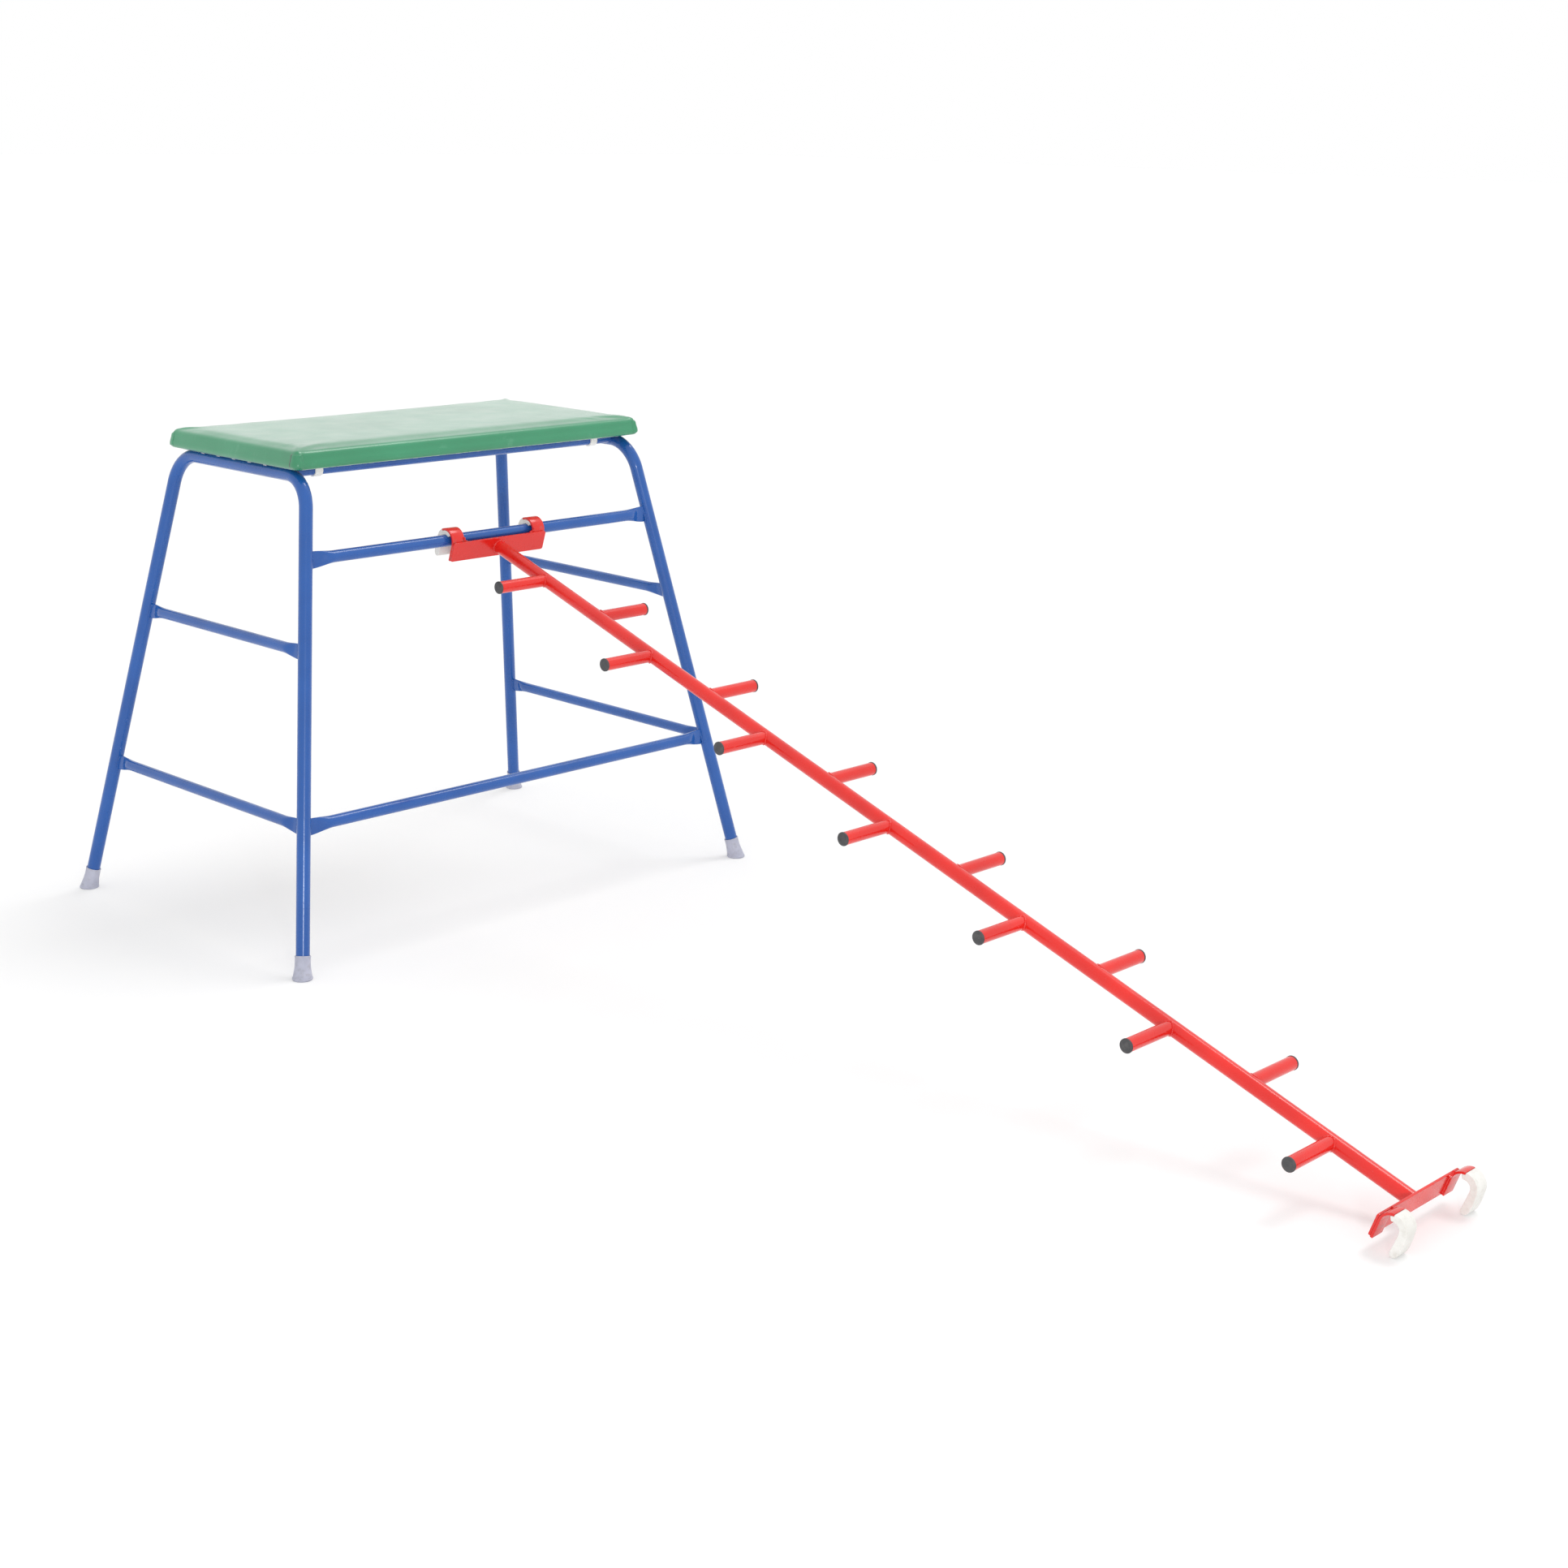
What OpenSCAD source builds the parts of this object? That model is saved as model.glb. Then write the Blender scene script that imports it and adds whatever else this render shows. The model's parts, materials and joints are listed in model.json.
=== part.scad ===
// Activity table with a hook-on single-pole ladder.
// A padded trestle of bent tube stands on four rubber ferrules. A pole ladder with
// alternating rungs hooks over the table's front rail and rests its far hooks on the floor.
// X runs along the table's long side, Y across it, Z up. The ladder points to -Y.

/* [Table frame] */
// Height of the end frames' top bars above the floor, at their centre line
frame_h = 865; // [760:5:1050]
// Distance between the two end frames at their top bars
top_span_x = 776; // [640:2:960]
// Distance between the left and right feet
foot_span_x = 1088; // [980:2:1320]
// Distance between the leg lines at the height of the top bar
top_span_y = 406; // [360:2:500]
// Distance between the front and back feet
foot_span_y = 724; // [600:2:880]
// Outer diameter of the bent end frames
leg_od = 25; // [20:0.5:30]
// Radius of the two bends in each end frame, at the centre line
bend_r = 66; // [50:1:90]
// Wall of every frame tube
tube_wall = 1.6; // [1.2:0.1:2]
// Gap between a leg's open end and the floor
leg_lift = 8; // [6:1:12]

/* [Rails and cross bars] */
// Outer diameter of the two front rails
rail_od = 22.2; // [19:0.1:25.4]
// Height of the front hooking rail
rail_h = 723; // [620:1:800]
// Height of the front lower rail
low_rail_h = 262; // [150:1:420]
// Outer diameter of the cross bars in the end frames
bar_od = 20; // [16:0.5:22]
// Height of the upper cross bars
upper_bar_h = 564; // [450:1:700]
// Height of the lower cross bars
lower_bar_h = 262; // [150:1:420]
// Length of the pressed-flat end of a rail or cross bar
blade_len = 12; // [8:1:20]
// Length over which the round tube turns into the flat end
taper_len = 48; // [30:1:70]
// Thickness of the flat end
blade_t = 4.6; // [4.2:0.2:6]
// Outer diameter of the rails under the board
top_rail_od = 19; // [16:0.5:22]
// Distance of those rails from the table's middle
top_rail_y = 150; // [110:1:170]

/* [Feet] */
// Height of a rubber ferrule
ferrule_h = 46; // [35:1:60]
// Wall of a ferrule round the leg at its mouth
ferrule_wall = 2; // [1.5:0.25:5]
// Outer diameter of a ferrule's tread
ferrule_tread_d = 37; // [36:0.5:46]
// Thickness of the tread's level rim
tread_t = 5; // [3:0.5:8]

/* [Padded top] */
// Length of the padded top
pad_x = 824; // [660:2:1000]
// Width of the padded top
pad_y = 415; // [380:1:500]
// Thickness of the padded top, cover to cover
pad_h = 37.2; // [30:0.2:50]
// Thickness of the board inside the pad
board_t = 12; // [9:0.5:18]
// Thickness of the vinyl cover
cover_t = 1.2; // [0.8:0.1:2]
// Width of the cover's edge folded under the board
fold_w = 30; // [20:1:45]
// Radius of the pad's corners seen from above
pad_corner_r = 12; // [6:1:30]
// Distance of the saddle clips from the pad's short ends
clip_inset = 82; // [60:1:180]
// Width of a saddle clip
clip_w = 16; // [10:1:24]
// Thickness of a saddle clip
clip_t = 2.5; // [2:0.1:4]
// Distance between the staples along the folded edge
staple_pitch = 50; // [30:5:80]

/* [Ladder] */
// Outer diameter of the pole
pole_od = 25; // [20:0.5:30]
// Outer diameter of the rungs
rung_od = 22.2; // [16:0.1:22.2]
// Number of rungs, alternately left and right
rungs = 13; // [7:1:13]
// Distance between one rung and the next along the pole
rung_pitch = 152.4; // [120:0.1:185]
// Distance from a crossbar to the nearest rung
end_gap = 144; // [110:1:190]
// Reach of a rung from the pole's centre line to the end of its cap
rung_reach = 117; // [90:1:150]
// Place of the ladder along the hooking rail
ladder_x = 10; // [-150:1:150]

/* [Rung caps] */
// Visible length of a rung cap
cap_head = 5; // [3:0.5:10]
// Overhang of the cap's rim beyond the rung
cap_rim = 0.6; // [0.2:0.1:2]
// Length of the stem inside the rung
cap_stem = 16; // [8:1:30]

/* [Hooks] */
// Length of a hook crossbar
crossbar_w = 223; // [180:1:270]
// Height of a hook crossbar
crossbar_h = 38; // [32:1:50]
// Thickness of a hook crossbar
crossbar_t = 4; // [3:0.5:6]
// Width of a hook strap
strap_w = 28; // [20:1:34]
// Thickness of a hook strap
strap_t = 4; // [3:0.5:6]
// Thickness of the nylon liner under the strap
liner_t = 8; // [6:0.5:10]
// Clearance between the liner and the rail
rail_clear = 0.4; // [0.2:0.1:1]
// Height of the hook's centre above the pole's centre line
hook_rise = 12.4; // [8:0.2:20]
// Length of the liner's straight leg below the hook's centre
hook_leg = 38.7; // [30:0.1:46]
// Angle at which the liner starts, past the top of the hook
liner_start = 120; // [110:1:130]
// Angle at which the upper hooks' steel straps end
strap_end = 48; // [30:1:80]
// Angle at which the far hooks' steel straps end
far_strap_end = 102; // [85:1:108]

/* [Hidden] */
$fn = 64;
taper_fn = 40;
dome_fn = 96;
blue = "#2f5fae";
red = "#e5342f";
grey = "#b4b7c4";
green = "#3f9c72";
foam_yellow = "#e8d9a0";
ply = "#c79a62";
white = "#f0f0ee";
black = "#3a3a3c";
steel = "#b9bdc2";

// Slack used to make one cut pass clean through another shape
over = 1;
// Thickness of the thin slices that a tapered end is stretched between
slice = 0.2;
// Slack that only has to break two coinciding faces
hair = 0.01;
// Clearance between a plug or a sleeve and the tube that it fits
fit_gap = 0.1;
// Side of a half-space used for trimming
trim = 200;

// End frame: lean about Y, and splay of the legs inside the leaning plane
lean = atan2((foot_span_x - top_span_x) / 2, frame_h);
plane_h = frame_h / cos(lean);
splay = atan2((foot_span_y - top_span_y) / 2, plane_h);
leg_len = plane_h / cos(splay);
leg_r = leg_od / 2;
bend_cut = bend_r * tan((90 - splay) / 2);
leg_end = leg_len - leg_lift / (cos(lean) * cos(splay));
ferrule_top_d = leg_od + 2 * ferrule_wall;

// Lap of a straight length into a bend, and how much each face of the wall draws in there
bend_lap = 1.5;
bend_thin = 0.25;

// Height of the blades on flattened ends: a pressed tube grows to half its girth
blade_grow = 1.42;

// Pad
pad_z = frame_h + leg_r;
board_z = pad_z + cover_t;
foam_z = board_z + board_t;
foam_t = pad_h - 2 * cover_t - board_t;
top_rail_z = pad_z - top_rail_od / 2;

// Saddle clips and their screws
clip_x = pad_x / 2 - clip_inset;
clip_ear = 14;
clip_drop = board_z - top_rail_z;
screw_r = 1.9;
screw_head_r = 3.8;
screw_top_r = 2.3;
screw_head_t = 2.2;
screw_len = 9;
staple_w = 10;
staple_d = 1;
// The rows along the sides keep clear of the top rails, and those at the ends of the top bars
staple_shift = 0.25;
end_staple_in = 8;

// Hooks: radii about the rail's axis
liner_r = rail_od / 2 + rail_clear;
strap_in_r = liner_r + liner_t;
strap_out_r = strap_in_r + strap_t;
plate_out = strap_out_r + crossbar_t;
liner_mid_r = (liner_r + strap_out_r) / 2;
tip_r = (strap_out_r - liner_r) / 2;

// Ladder: pole length and slope. The slope puts the far hooks' round tips on the floor.
pole_len = (rungs - 1) * rung_pitch + 2 * end_gap;
hook_span = pole_len + 2 * plate_out;
tip_run = hook_span + liner_mid_r;
tip_drop = hook_leg - tip_r;
slope = asin((rail_h - tip_r) / norm([tip_run, tip_drop])) - atan2(tip_drop, tip_run);

// Places of the front rails: they run through the leg lines
function leg_x(h) = (foot_span_x + (top_span_x - foot_span_x) * h / frame_h) / 2;
function leg_y(h) = (foot_span_y + (top_span_y - foot_span_y) * h / frame_h) / 2;
rail_y = leg_y(rail_h);

// The origin is the middle of the whole object's footprint
back_y = foot_span_y / 2 + ferrule_tread_d / 2;
front_y = rail_y + hook_span * cos(slope) + strap_out_r;
shift_y = (front_y - back_y) / 2;

left = -1;
right = 1;
front = -1;
back = 1;
corners = [[left, front], [right, front], [left, back], [right, back]];
corner_names = ["left_front", "right_front", "left_back", "right_back"];

// ---- placing ----

module table_place() { translate([0, shift_y, 0]) children(); }

// Plane of one end frame: Y along the top bar, Z up the leaning plane
module frame_plane(side) {
    translate([side * top_span_x / 2, 0, frame_h]) rotate([0, -side * lean, 0]) children();
}

// Along one leg of the plane: Z runs down the leg from the corner of the leg and bar lines
module down_leg(end) {
    mirror([0, end < 0 ? 1 : 0, 0]) translate([0, top_span_y / 2, 0])
        rotate([180 + splay, 0, 0]) children();
}

// Ladder's own frame: origin on the rail's axis, -Y down the pole, Z square to it
module ladder_place() {
    translate([ladder_x, shift_y - rail_y, rail_h]) rotate([slope, 0, 0]) children();
}

// Hook end: 0 is at the rail, 1 is the far end, turned about so that its hooks point outwards
module hook_place(far) {
    translate([0, -far * hook_span, 0]) mirror([0, far, 0]) children();
}

// ---- shared shapes ----

module tube(r, wall, len) {
    difference() {
        cylinder(r = r, h = len);
        translate([0, 0, -over]) cylinder(r = r - wall, h = len + 2 * over);
    }
}

// Extrudes a Y-Z outline along X, centred
module along_x(len) {
    translate([-len / 2, 0, 0]) rotate([90, 0, 90]) linear_extrude(len) children();
}

// Solid form of a tube with pressed-flat ends, lying along X and centred: round in the middle,
// then a taper, then a flat blade that stands up in Z
module flat_end_form(r, half_len, blade_height, blade_thick) {
    round_len = half_len - blade_len - taper_len;
    rotate([0, 90, 0]) cylinder(r = r, h = 2 * round_len, center = true);
    for (side = [left, right]) {
        hull() {
            translate([side * round_len, 0, 0]) rotate([0, 90, 0])
                cylinder(r = r, h = slice, center = true, $fn = taper_fn);
            translate([side * (half_len - blade_len), 0, 0])
                cube([slice, blade_thick, blade_height], center = true);
        }
        translate([side * (half_len - blade_len / 2), 0, 0])
            cube([blade_len, blade_thick, blade_height], center = true);
    }
}

module flat_end_tube(od, len) {
    blade_height = od * blade_grow;
    difference() {
        flat_end_form(od / 2, len / 2, blade_height, blade_t);
        flat_end_form(od / 2 - tube_wall, len / 2 + hair,
            blade_height - 2 * tube_wall, blade_t - 2 * tube_wall);
    }
}

// ---- end frames ----

// Solid form of a whole end frame in its own plane: bar, two bends and two legs. The straight
// lengths lap into the bends, whose tube is a hair thinner
module frame_form(r, bend_tube_r, leg_stop) {
    half_bar = top_span_y / 2 - bend_cut;
    bar_len = 2 * (half_bar + bend_lap);
    translate([0, -bar_len / 2, 0]) rotate([-90, 0, 0]) cylinder(r = r, h = bar_len);
    for (end = [0, 1]) mirror([0, end, 0]) {
        down_leg(back) translate([0, 0, bend_cut - bend_lap])
            cylinder(r = r, h = leg_stop - bend_cut + bend_lap);
        translate([0, half_bar, -bend_r]) rotate([90, 0, 90]) rotate([0, 0, splay])
            rotate_extrude(angle = 90 - splay) translate([bend_r, 0]) circle(r = bend_tube_r);
    }
}

module end_frame(side) {
    bore_r = leg_r - tube_wall;
    color(blue) table_place() frame_plane(side) difference() {
        frame_form(leg_r, leg_r - bend_thin, leg_end);
        frame_form(bore_r, bore_r + bend_thin, leg_end + over);
    }
}

// Solid forms of the legs, used to cope whatever is welded to them
module leg_cut(side) {
    table_place() frame_plane(side) for (end = [front, back])
        down_leg(end) cylinder(r = leg_r, h = leg_len);
}

// ---- rails and cross bars ----

module front_rail(h) {
    color(blue) difference() {
        table_place() translate([0, -leg_y(h), h]) flat_end_tube(rail_od, 2 * leg_x(h));
        leg_cut(left);
        leg_cut(right);
    }
}

module cross_bar(side, h) {
    drop = (frame_h - h) / cos(lean);
    reach = top_span_y + 2 * drop * tan(splay);
    color(blue) difference() {
        table_place() frame_plane(side) translate([0, 0, -drop]) rotate([0, 0, 90])
            flat_end_tube(bar_od, reach);
        leg_cut(side);
    }
}

module top_rail(end) {
    color(blue) table_place() difference() {
        translate([-top_span_x / 2, end * top_rail_y, top_rail_z]) rotate([0, 90, 0])
            tube(top_rail_od / 2, tube_wall, top_span_x);
        for (side = [left, right])
            translate([side * top_span_x / 2, 0, frame_h]) rotate([90, 0, 0])
                cylinder(r = leg_r, h = top_span_y, center = true);
    }
}

// ---- feet ----

module ferrule(side, end) {
    color(grey) table_place() difference() {
        union() {
            frame_plane(side) down_leg(end) translate([0, 0, leg_len - ferrule_h])
                cylinder(r1 = ferrule_top_d / 2, r2 = ferrule_tread_d / 2, h = ferrule_h);
            translate([side * foot_span_x / 2, end * foot_span_y / 2, 0])
                cylinder(r = ferrule_tread_d / 2, h = tread_t);
        }
        frame_plane(side) down_leg(end) translate([0, 0, leg_len - ferrule_h - over])
            cylinder(r = leg_r + fit_gap, h = leg_end - leg_len + ferrule_h + over);
        translate([side * foot_span_x / 2, end * foot_span_y / 2, -trim / 2])
            cube([trim, trim, trim], center = true);
    }
}

// ---- padded top ----

module rounded_block(x, y, z, r) {
    cube([x - 2 * r, y, z], center = true);
    cube([x, y - 2 * r, z], center = true);
    for (c = corners) translate([c[0] * (x / 2 - r), c[1] * (y / 2 - r), 0])
        cylinder(r = r, h = z, center = true);
}

// Screw places on one clip, across the rail
clip_screw_y = top_rail_od / 2 + clip_t + clip_ear / 2;

module at_clips() {
    for (c = corners) translate([c[0] * clip_x, c[1] * top_rail_y, 0]) children();
}

module at_clip_screws() {
    at_clips() for (end = [front, back]) translate([0, end * clip_screw_y, board_z]) children();
}

module top_board() {
    color(ply) table_place() difference() {
        translate([0, 0, board_z + board_t / 2])
            rounded_block(pad_x - 2 * cover_t, pad_y - 2 * cover_t, board_t, pad_corner_r - cover_t);
        at_clip_screws() translate([0, 0, -over]) cylinder(r = screw_r, h = screw_len + over);
    }
}

module pad_foam() {
    color(foam_yellow) table_place() translate([0, 0, foam_z + foam_t / 2])
        rounded_block(pad_x - 2 * cover_t, pad_y - 2 * cover_t, foam_t, pad_corner_r - cover_t);
}

module vinyl_cover() {
    color(green) table_place() difference() {
        translate([0, 0, pad_z + pad_h / 2]) rounded_block(pad_x, pad_y, pad_h, pad_corner_r);
        translate([0, 0, board_z + (board_t + foam_t) / 2])
            rounded_block(pad_x - 2 * cover_t, pad_y - 2 * cover_t, board_t + foam_t,
                pad_corner_r - cover_t);
        translate([0, 0, pad_z]) cube([pad_x - 2 * fold_w, pad_y - 2 * fold_w, pad_h], center = true);
    }
}

// Staples lie along the middle of the folded edge, on all four sides
module cover_staples() {
    row_x = floor((pad_x - 4 * fold_w) / staple_pitch / 2);
    row_y = floor((pad_y - 4 * fold_w) / staple_pitch / 2);
    color(steel) table_place() translate([0, 0, pad_z - staple_d / 2]) {
        for (end = [front, back], i = [-row_x:row_x])
            translate([(i + staple_shift) * staple_pitch, end * (pad_y - fold_w) / 2, 0])
                cube([staple_w, staple_d, staple_d], center = true);
        for (side = [left, right], i = [-row_y:row_y])
            translate([side * (pad_x / 2 - end_staple_in), i * staple_pitch, 0])
                cube([staple_d, staple_w, staple_d], center = true);
    }
}

// Saddle around a rail, hung from the board by two ears
module saddle_clip(side, end) {
    r = top_rail_od / 2 + fit_gap;
    span = 2 * (r + clip_t + clip_ear);
    color(white) table_place() translate([side * clip_x, end * top_rail_y, top_rail_z])
        difference() {
            along_x(clip_w) difference() {
                union() {
                    circle(r = r + clip_t);
                    translate([-r - clip_t, 0]) square([2 * (r + clip_t), clip_drop]);
                    translate([-span / 2, clip_drop - clip_t]) square([span, clip_t]);
                }
                circle(r = r);
                translate([-r, 0]) square([2 * r, top_rail_od]);
            }
            for (s = [front, back]) translate([0, s * clip_screw_y, 0])
                cylinder(r = screw_r, h = top_rail_od);
        }
}

module clip_screws() {
    color(steel) table_place() at_clip_screws() {
        translate([0, 0, -clip_t]) cylinder(r = screw_r, h = screw_len - over + clip_t);
        translate([0, 0, -clip_t - screw_head_t])
            cylinder(r1 = screw_top_r, r2 = screw_head_r, h = screw_head_t);
    }
}

// ---- ladder ----

module pole() {
    color(red) ladder_place() translate([0, -plate_out, -hook_rise]) rotate([90, 0, 0])
        tube(pole_od / 2, tube_wall, pole_len);
}

function rung_side(i) = i % 2 == 1 ? left : right;

module at_rung(i) {
    ladder_place() translate([0, -plate_out - end_gap - (i - 1) * rung_pitch, -hook_rise])
        rotate([0, rung_side(i) * 90, 0]) children();
}

module rung(i) {
    color(red) at_rung(i) difference() {
        tube(rung_od / 2, tube_wall, rung_reach - cap_head);
        rotate([90, 0, 0]) cylinder(r = pole_od / 2, h = rung_reach, center = true);
    }
}

// Domed plastic plug: a stem inside the rung and a head that covers its end
module rung_cap(i) {
    head_r = rung_od / 2 + cap_rim;
    dome_r = (head_r * head_r + cap_head * cap_head / 4) / cap_head;
    stem_r = rung_od / 2 - tube_wall - fit_gap;
    color(black) at_rung(i) translate([0, 0, rung_reach - cap_head]) {
        translate([0, 0, -cap_stem]) cylinder(r = stem_r, h = cap_stem + over);
        cylinder(r = head_r, h = cap_head / 2);
        intersection() {
            translate([0, 0, cap_head / 2]) cylinder(r = head_r, h = cap_head / 2);
            translate([0, 0, cap_head - dome_r]) sphere(r = dome_r, $fn = dome_fn);
        }
    }
}

module crossbar(far) {
    color(red) ladder_place() hook_place(far)
        translate([0, -plate_out + crossbar_t / 2, -hook_rise]) rotate([90, 0, 0])
            rounded_block(crossbar_w, crossbar_h, crossbar_t, crossbar_t);
}

// Keeps the part of a flat ring between two angles, both under 180 degrees apart
module sector(from, to, r) {
    mid = (from + to) / 2;
    polygon([[0, 0], 2 * r * [cos(from), sin(from)], 2 * r * [cos(mid), sin(mid)],
        2 * r * [cos(to), sin(to)]]);
}

module ring(r_in, r_out, from, to) {
    intersection() {
        difference() {
            circle(r = r_out);
            circle(r = r_in);
        }
        sector(from, to, r_out);
    }
}

// The strap runs up the crossbar's face and curls over the rail
function end_angle(far) = far == 1 ? far_strap_end : strap_end;

module strap_outline(far) {
    foot_z = -hook_rise - crossbar_h / 2;
    translate([-strap_out_r, foot_z]) square([strap_t, -foot_z]);
    ring(strap_in_r, strap_out_r, end_angle(far), 180);
}

// The liner lies under the strap, fills out to its outer face past its end, then runs down
module liner_outline(far) {
    ring(liner_r, strap_in_r, end_angle(far), liner_start);
    ring(liner_r, strap_out_r, 0, end_angle(far));
    translate([liner_r, -tip_drop]) square([2 * tip_r, tip_drop]);
    translate([liner_mid_r, -tip_drop]) circle(r = tip_r);
}

module at_strap(side) { translate([side * (crossbar_w - strap_w) / 2, 0, 0]) children(); }

module hook_straps(far) {
    color(red) ladder_place() hook_place(far) for (side = [left, right])
        at_strap(side) along_x(strap_w) strap_outline(far);
}

module liner(far, side) {
    color(white) ladder_place() hook_place(far) at_strap(side) along_x(strap_w) liner_outline(far);
}

// ---- nodes ----

end_frame(left);  // end_frame_left
end_frame(right);  // end_frame_right
front_rail(rail_h);  // hooking_rail
front_rail(low_rail_h);  // lower_rail
cross_bar(left, upper_bar_h);  // upper_bar_left
cross_bar(right, upper_bar_h);  // upper_bar_right
cross_bar(left, lower_bar_h);  // lower_bar_left
cross_bar(right, lower_bar_h);  // lower_bar_right
top_rail(front);  // top_rail_front
top_rail(back);  // top_rail_back
for (i = [0:3]) {
    ferrule(corners[i][0], corners[i][1]);
    saddle_clip(corners[i][0], corners[i][1]);
}
top_board();
pad_foam();
vinyl_cover();
cover_staples();
clip_screws();
pole();  // ladder_pole
for (i = [1:rungs]) {
    rung(i);
    rung_cap(i);
}
crossbar(0);  // upper_crossbar
hook_straps(0);  // upper_hook_straps
liner(0, left);  // upper_liner_left
liner(0, right);  // upper_liner_right
crossbar(1);  // lower_crossbar
hook_straps(1);  // lower_hook_straps
liner(1, left);  // lower_liner_left
liner(1, right);  // lower_liner_right
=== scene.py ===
import bpy
import bmesh
import json
import math
import numpy as np
from mathutils import Matrix, Vector


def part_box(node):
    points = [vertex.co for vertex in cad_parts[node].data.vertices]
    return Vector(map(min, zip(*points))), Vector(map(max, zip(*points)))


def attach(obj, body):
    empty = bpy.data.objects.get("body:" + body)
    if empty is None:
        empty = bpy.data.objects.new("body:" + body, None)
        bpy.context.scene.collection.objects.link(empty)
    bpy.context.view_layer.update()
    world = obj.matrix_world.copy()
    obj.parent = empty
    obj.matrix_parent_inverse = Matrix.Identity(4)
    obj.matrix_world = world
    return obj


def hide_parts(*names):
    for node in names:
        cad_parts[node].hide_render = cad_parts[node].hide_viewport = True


# Padded tube-frame table with a single-pole ladder hooked over its front rail. Metres, Z up.

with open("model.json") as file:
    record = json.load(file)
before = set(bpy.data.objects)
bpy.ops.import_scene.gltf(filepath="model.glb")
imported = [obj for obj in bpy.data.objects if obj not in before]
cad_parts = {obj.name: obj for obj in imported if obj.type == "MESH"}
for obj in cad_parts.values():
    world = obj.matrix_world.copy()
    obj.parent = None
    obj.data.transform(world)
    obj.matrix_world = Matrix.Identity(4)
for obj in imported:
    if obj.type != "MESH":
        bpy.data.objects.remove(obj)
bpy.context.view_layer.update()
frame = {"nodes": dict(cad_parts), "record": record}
nodes = frame["nodes"]
print("frame loaded:", len(nodes), "nodes")

tableFrame = dict(topHeight=0.865, topSpanX=0.776, footSpanX=1.088, topSpanY=0.406, footSpanY=0.724,
                  tubeRadius=0.0125, bendRadius=0.066, legLift=0.008)
boardLow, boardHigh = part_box("top_board")
middleY = (boardLow[1] + boardHigh[1]) / 2

lean = math.atan2((tableFrame["footSpanX"] - tableFrame["topSpanX"]) / 2, tableFrame["topHeight"])
planeHeight = tableFrame["topHeight"] / math.cos(lean)
splay = math.atan2((tableFrame["footSpanY"] - tableFrame["topSpanY"]) / 2, planeHeight)
legLength = planeHeight / math.cos(splay)

hook = dict(linerIn=0.0115, strapIn=0.0195, strapOut=0.0235, plateThick=0.004, rise=0.0124,
            legDrop=0.0387, linerFrom=120, strapTo=(48, 102), strapWide=0.028,
            linerStep=0.0007, linerEase=5, linerEdge=0.0009, cutEdge=0.0008, swell=0.0014, curl=0.0016)
ladder = dict(x=0.010, railHeight=0.723, poleRadius=0.0125, rungRadius=0.0111, rungs=13, pitch=0.1524,
              endGap=0.144, reach=0.117, capHead=0.005, crossbarWide=0.223, crossbarHigh=0.038)
plateOut = hook["strapOut"] + hook["plateThick"]
poleLength = (ladder["rungs"] - 1) * ladder["pitch"] + 2 * ladder["endGap"]
hookSpan = poleLength + 2 * plateOut
tipRadius = (hook["strapOut"] - hook["linerIn"]) / 2
tipRun = hookSpan + (hook["linerIn"] + hook["strapOut"]) / 2
tipDrop = hook["legDrop"] - tipRadius
slope = math.asin((ladder["railHeight"] - tipRadius) / math.hypot(tipRun, tipDrop)) - math.atan2(tipDrop, tipRun)


def legX(height):  # half the distance between the leg lines along X, at that height
    f = tableFrame
    return (f["footSpanX"] + (f["topSpanX"] - f["footSpanX"]) * height / f["topHeight"]) / 2


def legY(height):
    f = tableFrame
    return (f["footSpanY"] + (f["topSpanY"] - f["footSpanY"]) * height / f["topHeight"]) / 2


railY = middleY - legY(ladder["railHeight"])


def onFramePlane(side, y, z):
    # point (y, z) of one leaning end plane, z from its top bar, as points in the row frame
    y, z = np.broadcast_arrays(np.asarray(y, float), np.asarray(z, float))
    f = tableFrame
    return np.stack([side * (f["topSpanX"] / 2 - z * math.sin(lean)), middleY + y,
                     f["topHeight"] + z * math.cos(lean)], -1)


def onLadder(points):
    # ladder's own frame: origin on the rail's axis, -Y down the pole, Z square to it
    p = np.asarray(points, float)
    y = p[..., 1] * math.cos(slope) - p[..., 2] * math.sin(slope)
    z = p[..., 1] * math.sin(slope) + p[..., 2] * math.cos(slope)
    return np.stack([p[..., 0] + ladder["x"], y + railY, z + ladder["railHeight"]], -1)


def onHook(points, far):
    # hook frame: origin on the axis of the rail that the hook fits, turned about at the far end
    p = np.array(points, float)
    if far:
        p[..., 1] = -hookSpan - p[..., 1]
    return onLadder(p)


def circle(count):  # angles all the way round, the last one short of the first
    return np.arange(count) / count * 2 * np.pi


def smooth(t):  # rises from 0 to 1 with level ends
    t = np.clip(t, 0, 1)
    return t * t * (3 - 2 * t)


def gridFaces(rows, columns, closedRows=False, closedColumns=True):
    # quads of a grid of rows x columns points, row by row
    r = np.arange(rows if closedRows else rows - 1)
    c = np.arange(columns if closedColumns else columns - 1)
    r, c = [a.ravel() for a in np.meshgrid(r, c, indexing="ij")]
    r2, c2 = (r + 1) % rows, (c + 1) % columns
    return np.stack([r * columns + c, r * columns + c2, r2 * columns + c2, r2 * columns + c], 1).tolist()


def endFaces(rows, columns):
    # the two faces that close a grid of rings, at its first and last row
    return [list(range(columns))[::-1], list(range((rows - 1) * columns, rows * columns))]


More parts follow.
